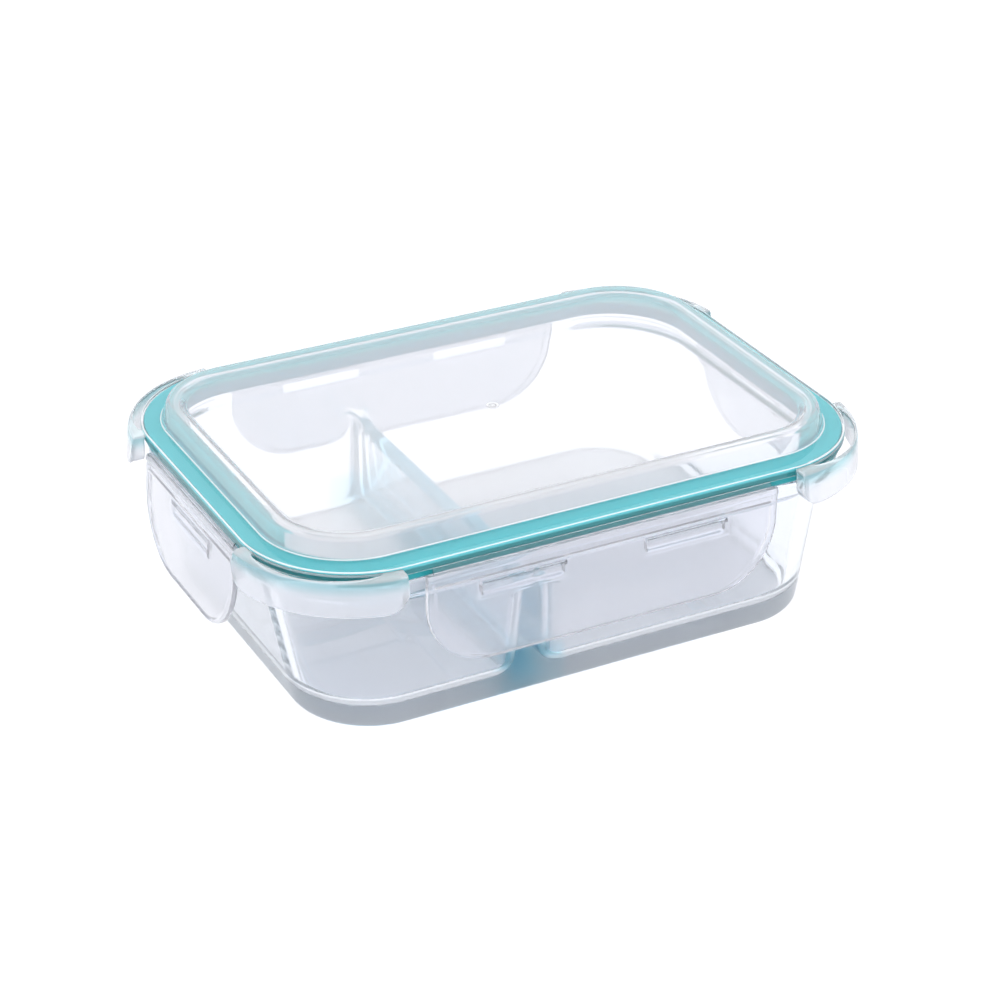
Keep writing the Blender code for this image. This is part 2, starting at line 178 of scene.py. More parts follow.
def add_object(name, bm, material, smooth_angle=35):
    bmesh.ops.recalc_face_normals(bm, faces=bm.faces)
    bmesh.ops.scale(bm, vec=Vector((MM, MM, MM)), verts=bm.verts)
    mesh = bpy.data.meshes.new(name)
    bm.to_mesh(mesh)
    bm.free()
    mesh.shade_smooth()
    mesh.set_sharp_from_angle(angle=math.radians(smooth_angle))
    mesh.materials.append(material)
    body = bpy.data.objects.new(name, mesh)
    bpy.context.scene.collection.objects.link(body)
    return body


def flat_faces(body):
    """Large faces keep their own normals next to the small faces of a rounded edge."""
    modifier = body.modifiers.new("flat", "WEIGHTED_NORMAL")
    modifier.keep_sharp = True
    modifier.weight = 80


def apply_modifiers(body):
    graph = bpy.context.evaluated_depsgraph_get()
    mesh = bpy.data.meshes.new_from_object(body.evaluated_get(graph))
    body.modifiers.clear()
    body.data = mesh


def arc(centre_x, centre_y, radius, start, sweep, steps):
    points = []
    for step in range(steps + 1):
        angle = math.radians(start + sweep * step / steps)
        points.append((centre_x + radius * math.cos(angle), centre_y + radius * math.sin(angle)))
    return points


def rounded_rectangle(half_x, half_y, radius):
    inner_x, inner_y = half_x - radius, half_y - radius
    outline = []
    for sign_x, sign_y, start in ((-1, 1, 90), (-1, -1, 180), (1, -1, 270), (1, 1, 0)):
        outline += arc(sign_x * inner_x, sign_y * inner_y, radius, start, 90, CORNER_STEPS)
    return outline


def add_ring(bm, outline, z):
    return [bm.verts.new((x, y, z)) for x, y in outline]


def skin(bm, ring_a, ring_b):
    count = len(ring_a)
    for i in range(count):
        j = (i + 1) % count
        bm.faces.new((ring_a[i], ring_a[j], ring_b[j], ring_b[i]))


def skin_all(bm, rings):
    for ring_a, ring_b in zip(rings, rings[1:]):
        skin(bm, ring_a, ring_b)


def loft(bm, rings):
    """Closed solid through a row of rings, with a face over the first and the last."""
    skin_all(bm, rings)
    bm.faces.new(rings[0])
    bm.faces.new(rings[-1])


def blend_shapes(shape_a, shape_b, factor):
    return tuple(a + (b - a) * factor for a, b in zip(shape_a, shape_b))


def shrink(shape, amount):
    return tuple(value - amount for value in shape)


def smoothstep(low, high, value):
    share = min(max((value - low) / (high - low), 0.0), 1.0)
    return share * share * (3.0 - 2.0 * share)


def quarter_turn(first=0):
    """Angles of a rounded edge in even steps up to a right angle, from a first step on."""
    return [math.radians(90 * step / EDGE_STEPS) for step in range(first, EDGE_STEPS + 1)]


def round_profile(profile, radius, closed, steps=4):
    """Rounds the corners of a list of (shape, z) sections with a short curve each."""
    points = [(*shape, z) for shape, z in profile]
    count = len(points)
    out = []
    for i, point in enumerate(points):
        if not closed and i in (0, count - 1):
            out.append(point)
            continue
        before, after = points[i - 1], points[(i + 1) % count]
        ends = []
        for other in (before, after):
            length = math.hypot(other[0] - point[0], other[3] - point[3])
            ends.append(blend_shapes(point, other, min(radius, length * 0.45) / length))
        for step in range(steps + 1):
            share = step / steps
            first = blend_shapes(ends[0], point, share)
            second = blend_shapes(point, ends[1], share)
            out.append(blend_shapes(first, second, share))
    return [(point[:3], point[3]) for point in out]


# ------------------------------------------------------------------ glass tray

def outer_wall(z):
    return blend_shapes(TRAY_FOOT, TRAY_SHOULDER, z / SHOULDER_Z)


def inner_wall(z):
    return blend_shapes(shrink(outer_wall(0), WALL), RIM_INNER, z / RIM_Z)


def tray_outline(shape, reach=RIDGE_HALF + DIVIDER_FILLET):
    """Outline in four parts: round the left compartment, across the divider's front end,
    round the right compartment and across the divider's back end."""
    outline = rounded_rectangle(*shape)
    half = len(outline) // 2
    y = shape[1]
    across = [DIVIDER_X + reach * (2.0 * i / RIDGE_COLUMNS - 1.0)
              for i in range(RIDGE_COLUMNS + 1)]
    middle = across[1:-1]
    left_part = [(across[0], y)] + outline[:half] + [(across[0], -y)]
    right_part = [(across[-1], -y)] + outline[half:] + [(across[-1], y)]
    return left_part, [(x, -y) for x in middle], right_part, [(x, y) for x in middle[::-1]]


def divider_side(side, half_thickness, radius, half_y):
    """One face of the divider with its end fillets, from the front wall to the back wall."""
    centre_x = DIVIDER_X + side * (half_thickness + radius)
    centre_y = half_y - radius
    run = RISE_RUN - DIVIDER_FILLET
    extra = [centre_y - run * i / RISE_STEPS for i in range(1, RISE_STEPS + 1)]
    if side < 0:
        ends = arc(centre_x, -centre_y, radius, 270, 90, CORNER_STEPS)
    else:
        ends = arc(centre_x, -centre_y, radius, 270, -90, CORNER_STEPS)
    front = ends[1:] + [(ends[-1][0], -y) for y in extra]
    return front + [(x, -y) for x, y in reversed(front)]


def lift_to_wall(x, y, z, half_thickness):
    """Point of the divider after its ridge is curved up to meet the two long walls."""
    half_y = inner_wall(z)[1]
    run = max(RISE_RUN - (half_y - abs(y)), 0.0) / RISE_RUN
    climb = 1.0 - math.sqrt(max(1.0 - run ** 2, 0.0))
    aside = max(abs(x - DIVIDER_X) - half_thickness, 0.0) / DIVIDER_FILLET
    foot = FLOOR_Z + FLOOR_FILLET
    share = min(max((z - foot) / (RIDGE_Z - foot), 0.0), 1.0)
    lifted = z + RISE_HEIGHT * climb * max(1.0 - aside, 0.0) ** 2 * share
    return x, y * inner_wall(lifted)[1] / half_y, lifted


def add_divider_ring(bm, outline, z, half_thickness):
    return [bm.verts.new(lift_to_wall(x, y, z, half_thickness)) for x, y in outline]


def compartment_levels():
    """Heights with the inset of the floor fillet and the divider's half-thickness."""
    levels = []
    for angle in quarter_turn(1):
        z = RIDGE_Z - RIDGE_ROUND * (1 - math.cos(angle))
        levels.append((z, 0.0, RIDGE_HALF + RIDGE_ROUND * math.sin(angle)))
    face_top = RIDGE_Z - RIDGE_ROUND
    side = RIDGE_HALF + RIDGE_ROUND
    for angle in quarter_turn():
        z = FLOOR_Z + FLOOR_FILLET * (1 - math.sin(angle))
        inset = FLOOR_FILLET * (1 - math.cos(angle))
        levels.append((z, inset, side + (face_top - z) * DIVIDER_DRAFT + inset))
    return levels


def add_compartment(bm, side, top_wall, top_divider):
    """Walls and floor of one compartment below the ridge; the top ring already exists."""
    rings = [top_wall + top_divider]
    for z, inset, half_thickness in compartment_levels():
        shape = shrink(inner_wall(z), inset)
        radius = DIVIDER_FILLET - inset
        parts = tray_outline(shape, half_thickness + radius)
        face = divider_side(side, half_thickness, radius, shape[1])
        wall = add_ring(bm, parts[0] if side < 0 else parts[2], z)
        if side > 0:
            face = face[::-1]
        rings.append(wall + add_divider_ring(bm, face, z, half_thickness))
    skin_all(bm, rings)
    bm.faces.new(rings[-1])


def add_ridge(bm, parts, left_face, right_face):
    """Top of the divider, as rows of faces from the front wall to the back wall."""
    left_wall, front, right_wall, back = parts
    rows = [[left_wall[-1]] + front + [right_wall[0]]]
    half_y = inner_wall(RIDGE_Z)[1]
    plan = divider_side(-1, RIDGE_HALF, DIVIDER_FILLET, half_y)
    for (x, y), left, right in zip(plan, left_face, right_face):
        reach = DIVIDER_X - x
        middle = [(DIVIDER_X + reach * (2.0 * i / RIDGE_COLUMNS - 1.0), y)
                  for i in range(1, RIDGE_COLUMNS)]
        rows.append([left] + add_divider_ring(bm, middle, RIDGE_Z, RIDGE_HALF) + [right])
    rows.append([left_wall[0]] + back[::-1] + [right_wall[-1]])
    for near, far in zip(rows, rows[1:]):
        for i in range(RIDGE_COLUMNS):
            bm.faces.new((near[i], near[i + 1], far[i + 1], far[i]))


def make_tray(material):
    bm = bmesh.new()
    sections = []
    for angle in quarter_turn():
        z = FOOT_ROUND * (1 - math.cos(angle))
        sections.append((shrink(outer_wall(z), FOOT_ROUND * (1 - math.sin(angle))), z))
    lip = round_profile([sections[-1], (TRAY_SHOULDER, SHOULDER_Z), (TRAY_LIP, LIP_LOW_Z),
                         (TRAY_LIP, RIM_Z - RIM_ROUND)], LIP_ROUND, False)
    sections += lip[1:-1]
    for angle in quarter_turn():
        inset = RIM_ROUND * (1 - math.cos(angle))
        sections.append((shrink(TRAY_LIP, inset), RIM_Z - RIM_ROUND * (1 - math.sin(angle))))
    for angle in quarter_turn():
        z = RIM_Z - RIM_ROUND * (1 - math.cos(angle))
        sections.append((shrink(inner_wall(z), -RIM_ROUND * (1 - math.sin(angle))), z))
    sections.append((inner_wall(RIDGE_Z), RIDGE_Z))

    skins = [add_ring(bm, sum(tray_outline(shape), []), z) for shape, z in sections[:-1]]
    shape, z = sections[-1]
    parts = [add_divider_ring(bm, part, z, RIDGE_HALF) for part in tray_outline(shape)]
    skins.append(sum(parts, []))
    bm.faces.new(list(reversed(skins[0])))
    skin_all(bm, skins)

    left_face, right_face = [
        add_divider_ring(bm, divider_side(side, RIDGE_HALF, DIVIDER_FILLET, shape[1]), z, RIDGE_HALF)
        for side in (-1, 1)]
    add_ridge(bm, parts, left_face, right_face)
    add_compartment(bm, -1, parts[0], left_face)
    add_compartment(bm, 1, parts[2], right_face[::-1])
    tray = add_object("tray_glass", bm, material, 50)
    flat_faces(tray)
    return tray


def make_divider_core(material):
    """The deeper tint of the glass along the divider, as a body inside the solid glass."""
    bm = bmesh.new()
    rings = []
    for z in CORE_LEVELS:
        half_thickness = RIDGE_HALF + RIDGE_ROUND + (RIDGE_Z - z) * DIVIDER_DRAFT - CORE_DEPTH
        inner_y = inner_wall(z)[1]
        outer_y = outer_wall(z)[1] - CORE_DEPTH
        left, right = [divider_side(side, half_thickness, DIVIDER_FILLET, inner_y)
                       for side in (-1, 1)]
        ends = [(left[-1][0], outer_y), (right[-1][0], outer_y)]
        outline = left + ends + right[::-1] + [(x, -y) for x, y in ends[::-1]]
        rings.append(add_ring(bm, outline, z))
    loft(bm, rings)
    return add_object("divider_core", bm, material, 40)


# ------------------------------------------------------------------ lid and gasket

def make_gate_mark(material):
    """Small moulding mark in the middle of the panel: a shallow ring around a low dot."""
    bm = bmesh.new()
    angles = [2 * math.pi * i / GATE_MARK_STEPS for i in range(GATE_MARK_STEPS)]
    loft(bm, [add_ring(bm, [(radius * math.cos(angle), radius * math.sin(angle))
                            for angle in angles], PANEL_TOP_Z + height)
              for radius, height in GATE_MARK])
    return add_object("lid_gate_mark", bm, material, 50)


def is_within(point, shape):
    """Whether a point in metres lies inside a plan outline."""
    half_x, half_y, radius = shape
    out_x = max(abs(point.x) / MM - half_x + radius, 0.0)
    out_y = max(abs(point.y) / MM - half_y + radius, 0.0)
    return math.hypot(out_x, out_y) < radius


def lid_sections():
    """Section of the lid from the top of its panel out to the skirt and back underneath."""
    ledge, ring = LID_LEDGE, LID_RING
    skirt_inner = shrink(ledge, SKIRT_THICKNESS)
    plug = shrink(RIM_INNER, PLUG_CLEARANCE)
    panel_low = PANEL_TOP_Z - PANEL_THICKNESS
    return [
        (shrink(ring, 9.4), PANEL_TOP_Z),
        (shrink(ring, 8.6), PANEL_TOP_Z),
        (shrink(ring, 7.0), LID_TOP_Z - 0.3),
        (shrink(ring, 6.2), LID_TOP_Z),
        (shrink(ring, 3.6), LID_TOP_Z),
        (shrink(ring, 2.4), LID_TOP_Z - 0.8),
        (shrink(ring, 0.6), LEDGE_TOP_Z),
        (ledge, LEDGE_TOP_Z),
        (ledge, SKIRT_LOW_Z),
        (skirt_inner, SKIRT_LOW_Z),
        (skirt_inner, LEDGE_LOW_Z),
        (shrink(plug, -0.3), LEDGE_LOW_Z),
        (plug, PLUG_LOW_Z),
        (shrink(plug, PLUG_THICKNESS), PLUG_LOW_Z),
        (shrink(ring, 4.6), LID_TOP_Z - 2.0),
        (shrink(ring, 6.0), LID_TOP_Z - 1.6),
        (shrink(ring, 7.6), panel_low),
        (shrink(ring, 8.6), panel_low),
    ]


def make_lid_shell(*materials):
    """The lid without its wings: clear, with a hazy top and pale edges on its ledge; the milkier
    plastic there is a painted highlight along the ledge's outer edge and the ring's foot.
    """
    bm = bmesh.new()
    loft(bm, [add_ring(bm, rounded_rectangle(*shape), z)
              for shape, z in round_profile(lid_sections(), LID_ROUND, False)])
    shell = add_object("lid_shell", bm, materials[0], 60)
    for material in materials[1:]:
        shell.data.materials.append(material)
    ring_foot, ledge_face, ledge_edge = [
        (LEDGE_TOP_Z + offset) * MM for offset in (0.3, 0.04, -0.25)]
    # index 2: the milkier plastic as a painted highlight on the ledge's rounded outer edge and the
    # ring's foot
    for face in shell.data.polygons:
        height, is_top = face.center.z, face.normal.z > 0
        if height > ring_foot and is_top:
            face.material_index = 1
        elif height > ledge_edge and not is_within(face.center, shrink(LID_LEDGE, LID_ROUND)):
            face.material_index = 2
        elif height > ledge_face and is_top:
            face.material_index = 2
    flat_faces(shell)
    return shell


def fillet_inset(height, radius):
    if height >= radius:
        return 0.0
    return radius - math.sqrt(radius ** 2 - (radius - height) ** 2)


def ledge_point(distance, offset, corner):
    """Point at a run along a corner of the ledge's outline and an offset outward from it."""
    half_x, half_y, radius = LID_LEDGE
    length = radius * math.pi / 2
    centre_x, centre_y = half_x - radius, half_y - radius
    if distance < 0:
        x, y = half_x + offset, centre_y + distance
    elif distance > length:
        x, y = centre_x - (distance - length), half_y + offset
    else:
        angle = distance / radius
        x = centre_x + (radius + offset) * math.cos(angle)
        y = centre_y + (radius + offset) * math.sin(angle)
    return corner[0] * x, corner[1] * y


def wing_section(end_distance):
    """Section of a wing as offsets from the ledge and heights, near or far from its ends."""
    reach = WING_REACH
    low = WING_LOW_Z + fillet_inset(end_distance, WING_END_ROUND)
    inside = reach - WING_SHEET if end_distance > WING_END_WALL else WING_END_GAP
    return [
        (-WING_OVERLAP, LEDGE_TOP_Z - 0.6), (reach * 0.6, LEDGE_TOP_Z - 0.7),
        (reach * 0.74, LEDGE_TOP_Z - 1.1), (reach * 0.82, LEDGE_TOP_Z - 2.1), (reach, low + 0.5),
        (reach - 0.4, low), (inside, low), (inside * 0.78, LEDGE_TOP_Z - 2.6),
        (inside * 0.72, LEDGE_TOP_Z - 1.9), (-WING_OVERLAP, LEDGE_TOP_Z - 1.7),
    ]


def make_wing(index, corner, material):
    """A corner wing with its slit; the remeshing melts their edges together."""
    bm = bmesh.new()
    half_x, half_y, radius = LID_LEDGE
    start = radius * math.asin((WING_END_Y - half_y + radius) / radius)
    stop = radius * math.acos((WING_END_X - half_x + radius) / radius)
    rings = []
    for step in range(WING_STEPS + 1):
        share = 0.5 - 0.5 * math.cos(math.pi * step / WING_STEPS)
        distance = start + (stop - start) * share
        rings.append([bm.verts.new((*ledge_point(distance, offset, corner), z))
                      for offset, z in wing_section(min(distance - start, stop - distance))])
    loft(bm, rings)
    wing = add_object(f"lid_wing_{index}", bm, material, 60)
    cutter = make_slit(index, corner, material)
    cut = wing.modifiers.new("slit", "BOOLEAN")
    cut.operation, cut.solver, cut.object = "DIFFERENCE", "EXACT", cutter
    melt = wing.modifiers.new("melt", "REMESH")
    melt.mode, melt.voxel_size, melt.use_smooth_shade = "VOXEL", WING_VOXEL * MM, True
    soften = wing.modifiers.new("soften", "CORRECTIVE_SMOOTH")
    soften.iterations, soften.smooth_type, soften.use_only_smooth = 4, "SIMPLE", True
    apply_modifiers(wing)
    bpy.data.objects.remove(cutter, do_unlink=True)
    return wing


def make_slit(index, corner, material):
    """Cutter for the opening between a wing and the ledge, with round ends in plan."""
    bm = bmesh.new()
    radius = LID_LEDGE[2]
    middle = radius * math.pi / 4
    spread = radius * math.radians(SLIT_SPREAD) / 2
    above, below = LEDGE_TOP_Z + 2, LEDGE_TOP_Z - 6
    rings = []
    for step in range(WING_STEPS + 1):
        share = math.sin(math.pi / 2 * (2.0 * step / WING_STEPS - 1.0))
        width = (SLIT_FAR - SLIT_NEAR) * math.sqrt(max(1.0 - share ** 2, 0.002))
        far = SLIT_NEAR + width
        ring = []
        for offset, z in ((SLIT_NEAR, above), (far, above), (far, below), (SLIT_NEAR, below)):
            ring.append(bm.verts.new((*ledge_point(middle + spread * share, offset, corner), z)))
        rings.append(ring)
    loft(bm, rings)
    return add_object(f"slit_{index}", bm, material)


def make_gasket(material, inner_material):
    """The ring in the lid's channel; the side next to the plug has a material of its own, the same
    silicone with its side colour painted lighter and bluer as painted light.
    """
    outer = shrink(LID_LEDGE, SKIRT_THICKNESS - 0.1)
    inner = shrink(RIM_INNER, PLUG_CLEARANCE + GASKET_GRIP)
    sections = round_profile([(outer, GASKET_LOW_Z), (outer, GASKET_TOP_Z),
                              (inner, GASKET_TOP_Z), (inner, GASKET_LOW_Z)], LID_ROUND, True)
    bm = bmesh.new()
    rings = [add_ring(bm, rounded_rectangle(*shape), z) for shape, z in sections]
    skin_all(bm, rings)
    skin(bm, rings[-1], rings[0])
    gasket = add_object("gasket_ring", bm, material, 60)
    gasket.data.materials.append(inner_material)
    # faces next to the plug take the copy whose side colour is painted lighter
    for face in gasket.data.polygons:
        if is_within(face.center, shrink(RIM_INNER, PLUG_CLEARANCE)):
            face.material_index = 1
    return gasket


# ------------------------------------------------------------------ flaps and film hinges

def flap_half_width(v, half_length):
    """Half-width of a flap at a height v in its own frame; the lower corners are round."""
    drop = FLAP_LOW + FLAP_CORNER - v
    if drop <= 0:
        return half_length
    drop = min(drop, FLAP_CORNER)
    return half_length - FLAP_CORNER + math.sqrt(FLAP_CORNER ** 2 - drop ** 2)


def flap_edge(u, v, half_length):
    """Distance from the outline at the sides and foot, and the border's width there."""
    centre_u, centre_v = half_length - FLAP_CORNER, FLAP_LOW + FLAP_CORNER
    out_u, out_v = abs(u) - centre_u, centre_v - v
    if out_u > 0 and out_v > 0:
        turn = math.atan2(out_v, out_u) / (math.pi / 2)
        width = RIM_BAND + (RIM_LOW - RIM_BAND) * smoothstep(0.35, 1.0, turn)
        return FLAP_CORNER - math.hypot(out_u, out_v), width
    if half_length - abs(u) < v - FLAP_LOW:
        return half_length - abs(u), RIM_BAND
    return v - FLAP_LOW, RIM_LOW


def edge_drop(edge, radius):
    """How far a rounded edge falls back at a distance in from it."""
    if edge >= radius:
        return 0.0
    return radius - math.sqrt(radius ** 2 - (radius - max(edge, 0.0)) ** 2)


def flap_outer(u, v, half_length, slots):
    """Outer surface of a flap: border, hinge bead, groove, step and pads by the slots."""
    edge, width = flap_edge(u, v, half_length)
    field = (smoothstep(width - 0.25, width + 0.35, edge)
             * smoothstep(-0.2, 0.25, HINGE_BAND_LOW - v))
    depth = FLAP_FACE + RECESS * field
    for low, high in slots:
        pad = (smoothstep(low - PAD_MARGIN, low - 0.4, u)
               * smoothstep(-high - PAD_MARGIN, -high - 0.4, -u)
               * smoothstep(RIB_LOW - 0.6, RIB_LOW + 0.1, v))
        depth -= PAD_HEIGHT * pad * field
    groove = (smoothstep(GROOVE_LOW, GROOVE_FLAT_LOW, v)
              * smoothstep(-GROOVE_TOP, -GROOVE_FLAT_TOP, -v))
    depth += GROOVE_DEPTH * groove * smoothstep(1.6, 2.6, edge)
    bead = max(0.0, 1.0 - ((v - BEAD_Z) / BEAD_HALF) ** 2)
    depth -= BEAD_HEIGHT * math.sqrt(bead)
    return depth + edge_drop(edge, FLAP_OUTER_ROUND)


def flap_inner(u, v, half_length, slots):
    """Inner surface of a flap, with the snap rib under each slot."""
    edge = flap_edge(u, v, half_length)[0]
    depth = FLAP_BACK
    for low, high in slots:
        rib = (smoothstep(low + 0.2, low + 1.0, u) * smoothstep(-high + 0.2, -high + 1.0, -u)
               * smoothstep(RIB_LOW, RIB_LOW + RIB_RAMP, v)
               * smoothstep(-RIB_TOP, -RIB_TOP + 0.3, -v))
        depth += RIB_DEPTH * rib
    return depth - edge_drop(edge, FLAP_INNER_ROUND)


def spread_between(low, high, step):
    count = max(1, round((high - low) / step))
    return [low + (high - low) * i / count for i in range(count)]


def flap_rows():
    """Heights of a flap's rows of vertices, with a row at every step of its surfaces."""
    stops = [FLAP_TOP, -2.35, GROOVE_TOP, GROOVE_FLAT_TOP, GROOVE_FLAT_LOW, GROOVE_LOW,
             HINGE_BAND_LOW + 0.2, SLOT_TOP, SLOT_LOW, RIB_TOP, RIB_LOW + RIB_RAMP, RIB_LOW,
             RIB_LOW - 0.6, FLAP_LOW + FLAP_CORNER - 2.5]
    rows = []
    for high, low in zip(stops, stops[1:]):
        rows += [-value for value in spread_between(-high, -low, ROW_STEP)]
    start = (stops[-1] - FLAP_LOW - FLAP_CORNER) / -FLAP_CORNER
    first = math.asin(start)
    for step in range(FLAP_FOOT_ROWS + 1):
        angle = first + (math.pi / 2 - first) * step / FLAP_FOOT_ROWS
        rows.append(FLAP_LOW + FLAP_CORNER * (1 - math.sin(angle)))
    return rows


def flap_columns(half_length, slots):
    """Positions of a flap's columns of vertices, closer at its border and by its slots."""
    stops = [-half_length, -half_length + 0.5, -half_length + RIM_BAND - 0.3,
             -half_length + RIM_BAND + 0.4]
    for low, high in slots:
        stops += [low - PAD_MARGIN, low, low + 1.0, high - 1.0, high, high + PAD_MARGIN]
    stops += [-value for value in reversed(stops[:4])]
    columns = []
    for low, high in zip(stops, stops[1:]):
        columns += spread_between(low, high, FINE_COLUMN if high - low < 2.5 else COARSE_COLUMN)
    return columns + [half_length]


def make_flap(side, half_length, slots, material):
    """A snap flap as two surfaces on one grid, joined round its outline and its slots."""
    rows, columns = flap_rows(), flap_columns(half_length, slots)
    bm = bmesh.new()
    outer, inner = [], []
    for v in rows:
        share = flap_half_width(v, half_length) / half_length
        line = [(u * share, v) for u in columns]
        outer.append([bm.verts.new((u, flap_outer(u, w, half_length, slots), w))
                      for u, w in line])
        inner.append([bm.verts.new((u, flap_inner(u, w, half_length, slots), w))
                      for u, w in line])

    def is_hole(i, j):
        u = (columns[j] + columns[j + 1]) / 2
        v = (rows[i] + rows[i + 1]) / 2
        return SLOT_LOW < v < SLOT_TOP and any(low < u < high for low, high in slots)

    filled = [[not is_hole(i, j) for j in range(len(columns) - 1)] for i in range(len(rows) - 1)]

    def solid(i, j):
        return 0 <= i < len(rows) - 1 and 0 <= j < len(columns) - 1 and filled[i][j]

    for i in range(len(rows) - 1):
        for j in range(len(columns) - 1):
            if not filled[i][j]:
                continue
            bm.faces.new((outer[i][j], outer[i + 1][j], outer[i + 1][j + 1], outer[i][j + 1]))
            bm.faces.new((inner[i][j], inner[i][j + 1], inner[i + 1][j + 1], inner[i + 1][j]))
            for near, (a, b) in (((i - 1, j), ((i, j), (i, j + 1))),
                                 ((i + 1, j), ((i + 1, j), (i + 1, j + 1))),
                                 ((i, j - 1), ((i, j), (i + 1, j))),
                                 ((i, j + 1), ((i, j + 1), (i + 1, j + 1)))):
                if not solid(*near):
                    bm.faces.new((outer[a[0]][a[1]], outer[b[0]][b[1]],
                                  inner[b[0]][b[1]], inner[a[0]][a[1]]))
    bmesh.ops.delete(bm, geom=[v for v in bm.verts if not v.link_faces], context="VERTS")
    return add_object(f"flap_{side}_panel", bm, material, 40)


def make_web(side, half_length, material):
    """Thin film of plastic that joins the lid's skirt to a flap's bead."""
    bm = bmesh.new()
    half_width, last = half_length - WEB_END_INSET, len(WEB_PATH) - 1
    rings = []
    for index, (y, z) in enumerate(WEB_PATH):
        before, after = WEB_PATH[max(index - 1, 0)], WEB_PATH[min(index + 1, last)]
        along = Vector((after[0] - before[0], after[1] - before[1])).normalized()
        across = Vector((-along.y, along.x)) * WEB_HALF_SHEET
        rings.append([bm.verts.new((sign_x * half_width, y + sign * across.x,
                                    z + sign * across.y))
                      for sign_x, sign in ((-1, -1), (1, -1), (1, 1), (-1, 1))])
    loft(bm, rings)
    return add_object(f"film_hinge_{side}_web", bm, material, 60)


def place(body, location, turn, lean=0.0):
    """Moves a mesh made in a flap's own frame to its place; the object stays at the origin."""
    move = (Matrix.Translation(Vector(location) * MM) @ Matrix.Rotation(math.radians(turn), 4, "Z")
            @ Matrix.Rotation(math.radians(-lean), 4, "X"))
    body.data.transform(move)


# ------------------------------------------------------------------ materials

def new_material(name, **values):
    """A material with values for its shader's inputs: IOR, Transmission_Weight and so on."""
    material = bpy.data.materials.new(name)
    material.use_nodes = True
    tree = material.node_tree
    shader = tree.nodes["Principled BSDF"]
    for label, value in values.items():
        shader.inputs[label.replace("_", " ")].default_value = value
    return material, tree, shader


def colour_ramp(tree, socket, target, stops):
    """Colours a target input by a socket from 0 to 1; stops are (share, colour)."""
    ramp = tree.nodes.new("ShaderNodeValToRGB")
    elements = ramp.color_ramp.elements
    elements[0].position, elements[0].color = stops[0][0], (*stops[0][1], 1.0)
    elements[1].position, elements[1].color = stops[-1][0], (*stops[-1][1], 1.0)
    for share, colour in stops[1:-1]:
        elements.new(share).color = (*colour, 1.0)
    tree.links.new(socket, ramp.inputs["Fac"])
    tree.links.new(ramp.outputs["Color"], target)


def share_of_height(tree, low, high, first=0.0, last=1.0):
    """Socket that goes from a first to a last value between two heights in mm."""
    coords = tree.nodes.new("ShaderNodeTexCoord")
    split = tree.nodes.new("ShaderNodeSeparateXYZ")
    spread = tree.nodes.new("ShaderNodeMapRange")
    for label, value in (("From Min", low * MM), ("From Max", high * MM),
                         ("To Min", first), ("To Max", last)):
        spread.inputs[label].default_value = value
    tree.links.new(coords.outputs["Object"], split.inputs["Vector"])
    tree.links.new(split.outputs["Z"], spread.inputs["Value"])
    return spread.outputs["Result"]


def noise(tree, scale, detail=3.0, stretch=(1, 1, 1)):
    coords = tree.nodes.new("ShaderNodeTexCoord")
    mapping = tree.nodes.new("ShaderNodeMapping")
    mapping.inputs["Scale"].default_value = stretch
    texture = tree.nodes.new("ShaderNodeTexNoise")
    texture.inputs["Scale"].default_value = scale
    texture.inputs["Detail"].default_value = detail
    tree.links.new(coords.outputs["Object"], mapping.inputs["Vector"])
    tree.links.new(mapping.outputs["Vector"], texture.inputs["Vector"])
    return texture


def add_bump(tree, shader, texture, distance, strength):
    bump = tree.nodes.new("ShaderNodeBump")
    bump.inputs["Distance"].default_value = distance
    bump.inputs["Strength"].default_value = strength
    tree.links.new(texture.outputs["Fac"], bump.inputs["Height"])
    tree.links.new(bump.outputs["Normal"], shader.inputs["Normal"])


def vary_colour(tree, shader, texture, first, second):
    colour_ramp(tree, texture.outputs["Fac"], shader.inputs["Base Color"],
                ((0.35, first), (0.65, second)))


def colour_by_height(tree, shader, low, high, stops):
    """Base colour by height between two heights in mm; stops are (share, colour)."""
    colour_ramp(tree, share_of_height(tree, low, high), shader.inputs["Base Color"], stops)


def vary_roughness(tree, shader, texture, low, high):
    spread = tree.nodes.new("ShaderNodeMapRange")
    spread.inputs["To Min"].default_value = low
    spread.inputs["To Max"].default_value = high
    tree.links.new(texture.outputs["Fac"], spread.inputs["Value"])
    tree.links.new(spread.outputs["Result"], shader.inputs["Roughness"])


def absorb(tree, colour, density):
    """Tints the light by how far it travels inside a solid piece."""
    volume = tree.nodes.new("ShaderNodeVolumeAbsorption")
    volume.inputs["Color"].default_value = (*colour, 1.0)
    volume.inputs["Density"].default_value = density
    tree.links.new(volume.outputs["Volume"], tree.nodes["Material Output"].inputs["Volume"])


def etched_underside(tree, shader):
    """The face that the tray stands on is etched white; everything above it is polished."""
    for label, etched, polished in (("Roughness", 0.5, 0.0), ("Transmission Weight", 0.5, 1.0)):
        tree.links.new(share_of_height(tree, 0.0, ETCHED_HEIGHT, etched, polished),
                       shader.inputs[label])


def glass_material():
    material, tree, shader = new_material("clear_glass", IOR=GLASS_IOR)
    vary_colour(tree, shader, noise(tree, 18.0), (0.945, 0.962, 1.0), (0.965, 0.974, 1.0))
    etched_underside(tree, shader)
    add_bump(tree, shader, noise(tree, 26.0, 1.0, (1, 1, 0.5)), 0.0012, 0.12)
    absorb(tree, (0.10, 0.65, 0.92), 2.4)
    return material


def core_material():
    """Deeper glass within the glass: it tints the light and does not bend it again."""
    material, tree, shader = new_material("deep_glass", IOR=NO_BENDING_IOR,
                                          Transmission_Weight=1.0, Roughness=0.0)
    vary_colour(tree, shader, noise(tree, 18.0), (0.97, 0.995, 1.0), (1.0, 1.0, 1.0))
    absorb(tree, (0.06, 0.78, 0.94), 38.0)
    return material


